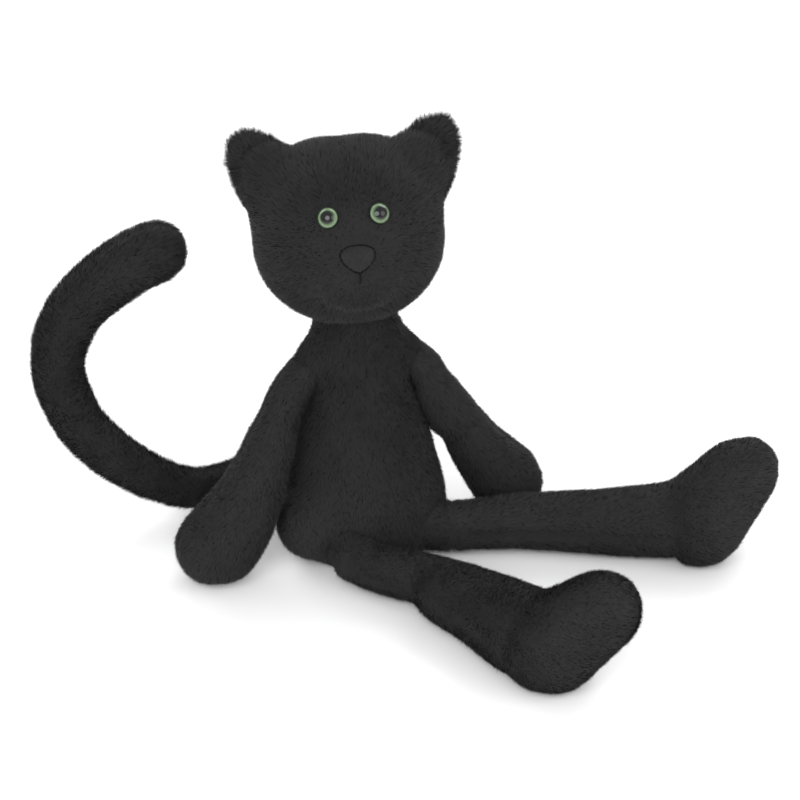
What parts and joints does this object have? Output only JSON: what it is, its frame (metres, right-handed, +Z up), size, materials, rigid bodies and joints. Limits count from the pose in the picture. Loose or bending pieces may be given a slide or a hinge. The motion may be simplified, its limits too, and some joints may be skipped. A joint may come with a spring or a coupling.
{
  "type": "plush cat",
  "caption": "Sitting soft plush cat with long floppy limbs, a curled-up tail, button eyes and a padded nose; head, arms, legs and tail swivel at their seams.",
  "frame": {"origin": "the middle of the body's flat seat, on the surface that the cat sits on", "axes": "+Z up, -Y the way the cat faces, +X to the cat's left"},
  "size_m": [0.3857, 0.2507, 0.2469],
  "materials": {
    "black_pile": "matte",
    "filling": "matte",
    "bead_bag": "matte",
    "eye": "gloss",
    "washer": "satin",
    "nose_velour": "matte",
    "thread": "satin"
  },
  "bodies": {
    "body": {"belly_panel": "black_pile", "left_back_panel": "black_pile", "right_back_panel": "black_pile", "seat_panel": "black_pile", "body_stuffing": "filling", "seat_bead_bag": "bead_bag"},
    "neck": {"neck_stuffing": "filling"},
    "head": {"face_panel": "black_pile", "head_back_panel": "black_pile", "head_stuffing": "filling", "left_ear": "black_pile", "right_ear": "black_pile", "left_eye": "eye", "right_eye": "eye", "left_eye_washer": "washer", "right_eye_washer": "washer", "nose_pad": "nose_velour", "mouth_stitch": "thread"},
    "left_shoulder": {"left_shoulder_gather": "black_pile"},
    "left_arm": {"left_arm_front_panel": "black_pile", "left_arm_back_panel": "black_pile", "left_arm_stuffing": "filling", "left_paw_beads": "bead_bag"},
    "left_hip": {"left_hip_gather": "black_pile"},
    "left_leg": {"left_leg_top_panel": "black_pile", "left_leg_bottom_panel": "black_pile", "left_leg_stuffing": "filling", "left_foot_cover": "black_pile", "left_foot_beads": "bead_bag"},
    "right_shoulder": {"right_shoulder_gather": "black_pile"},
    "right_arm": {"right_arm_front_panel": "black_pile", "right_arm_back_panel": "black_pile", "right_arm_stuffing": "filling", "right_paw_beads": "bead_bag"},
    "right_hip": {"right_hip_gather": "black_pile"},
    "right_leg": {"right_leg_top_panel": "black_pile", "right_leg_bottom_panel": "black_pile", "right_leg_stuffing": "filling", "right_foot_cover": "black_pile", "right_foot_beads": "bead_bag"},
    "tail_root": {"tail_root_gather": "black_pile"},
    "tail_base": {"tail_base_front_panel": "black_pile", "tail_base_back_panel": "black_pile", "tail_base_stuffing": "filling"},
    "tail_tip": {"tail_tip_front_panel": "black_pile", "tail_tip_back_panel": "black_pile", "tail_tip_stuffing": "filling"}
  },
  "joints": [
    {"name": "head_turn", "type": "hinge", "parent": "body", "child": "neck", "pos_m": [-0.005, -0.007, 0.138], "axis": [0, 0, 1], "range_deg": [-50, 50]},
    {"name": "head_nod", "type": "hinge", "parent": "neck", "child": "head", "pos_m": [-0.005, -0.007, 0.138], "axis": [1, 0, 0], "range_deg": [-15, 15]},
    {"name": "left_arm_raise", "type": "hinge", "parent": "body", "child": "left_shoulder", "pos_m": [0.025, -0.006, 0.112], "axis": [0, -1, 0], "range_deg": [0, 85]},
    {"name": "left_arm_swing", "type": "hinge", "parent": "left_shoulder", "child": "left_arm", "pos_m": [0.025, -0.006, 0.112], "axis": [1, 0, 0], "range_deg": [0, 45]},
    {"name": "right_arm_raise", "type": "hinge", "parent": "body", "child": "right_shoulder", "pos_m": [-0.031, -0.009, 0.113], "axis": [0, 1, 0], "range_deg": [0, 85]},
    {"name": "right_arm_swing", "type": "hinge", "parent": "right_shoulder", "child": "right_arm", "pos_m": [-0.031, -0.009, 0.113], "axis": [1, 0, 0], "range_deg": [-80, 6]},
    {"name": "left_leg_spread", "type": "hinge", "parent": "body", "child": "left_hip", "pos_m": [0.042, -0.028, 0.017], "axis": [0, 0, 1], "range_deg": [-35, 0]},
    {"name": "left_leg_lift", "type": "hinge", "parent": "left_hip", "child": "left_leg", "pos_m": [0.042, -0.028, 0.017], "axis": [-0.2291, -0.9734, 0], "range_deg": [0, 40]},
    {"name": "right_leg_spread", "type": "hinge", "parent": "body", "child": "right_hip", "pos_m": [-0.017, -0.048, 0.016], "axis": [0, 0, 1], "range_deg": [-75, 0]},
    {"name": "right_leg_lift", "type": "hinge", "parent": "right_hip", "child": "right_leg", "pos_m": [-0.017, -0.048, 0.016], "axis": [-0.7816, -0.6237, 0], "range_deg": [0, 20]},
    {"name": "tail_sway", "type": "hinge", "parent": "body", "child": "tail_root", "pos_m": [0, 0.0515, 0.025], "axis": [0, 0, 1], "range_deg": [-120, 0]},
    {"name": "tail_tilt", "type": "hinge", "parent": "tail_root", "child": "tail_base", "pos_m": [0, 0.0515, 0.025], "axis": [1, 0, 0], "range_deg": [-50, 0]},
    {"name": "tail_bend", "type": "hinge", "parent": "tail_base", "child": "tail_tip", "pos_m": [-0.1525, 0.03, 0.0825], "axis": [0, 1, 0], "range_deg": [-28, 25]}
  ]
}
